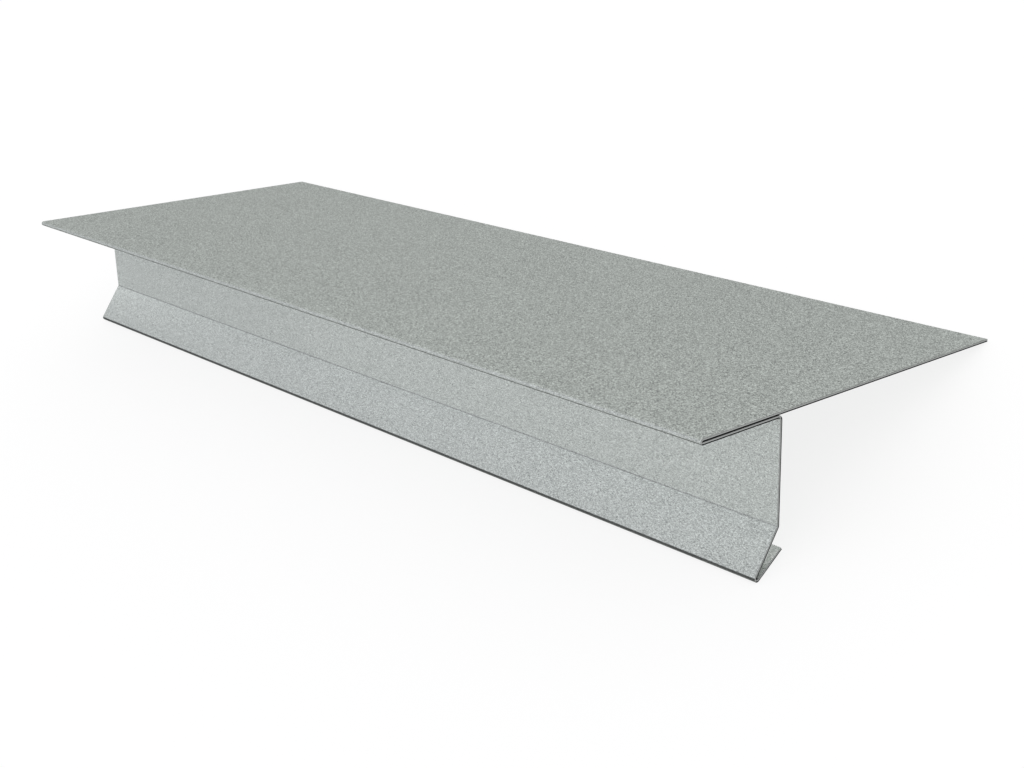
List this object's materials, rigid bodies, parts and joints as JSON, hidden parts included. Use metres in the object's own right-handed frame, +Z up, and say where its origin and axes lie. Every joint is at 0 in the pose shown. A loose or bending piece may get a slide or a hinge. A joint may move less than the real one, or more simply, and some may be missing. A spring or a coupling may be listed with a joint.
{
  "type": "drip edge",
  "caption": "T-style drip edge sample: roof flange folded back into a flat nose, vertical leg and a kicked-out foot with an open hem, bent from one strip of galvanised sheet steel.",
  "frame": {"origin": "on the floor under the middle of the strip's box, the strip lying loose on its kick's fold and its flange's back edge", "axes": "+X along the eaves, which is the strip's length; +Y from the nose back towards the flange's back edge; +Z up from the floor"},
  "size_m": [0.3, 0.0932, 0.0415],
  "materials": {
    "galvanised_sheet": "matt light grey galvanised sheet steel with a very fine, even spangle"
  },
  "bodies": {
    "root": {"drip_edge": "galvanised_sheet"}
  },
  "joints": []
}
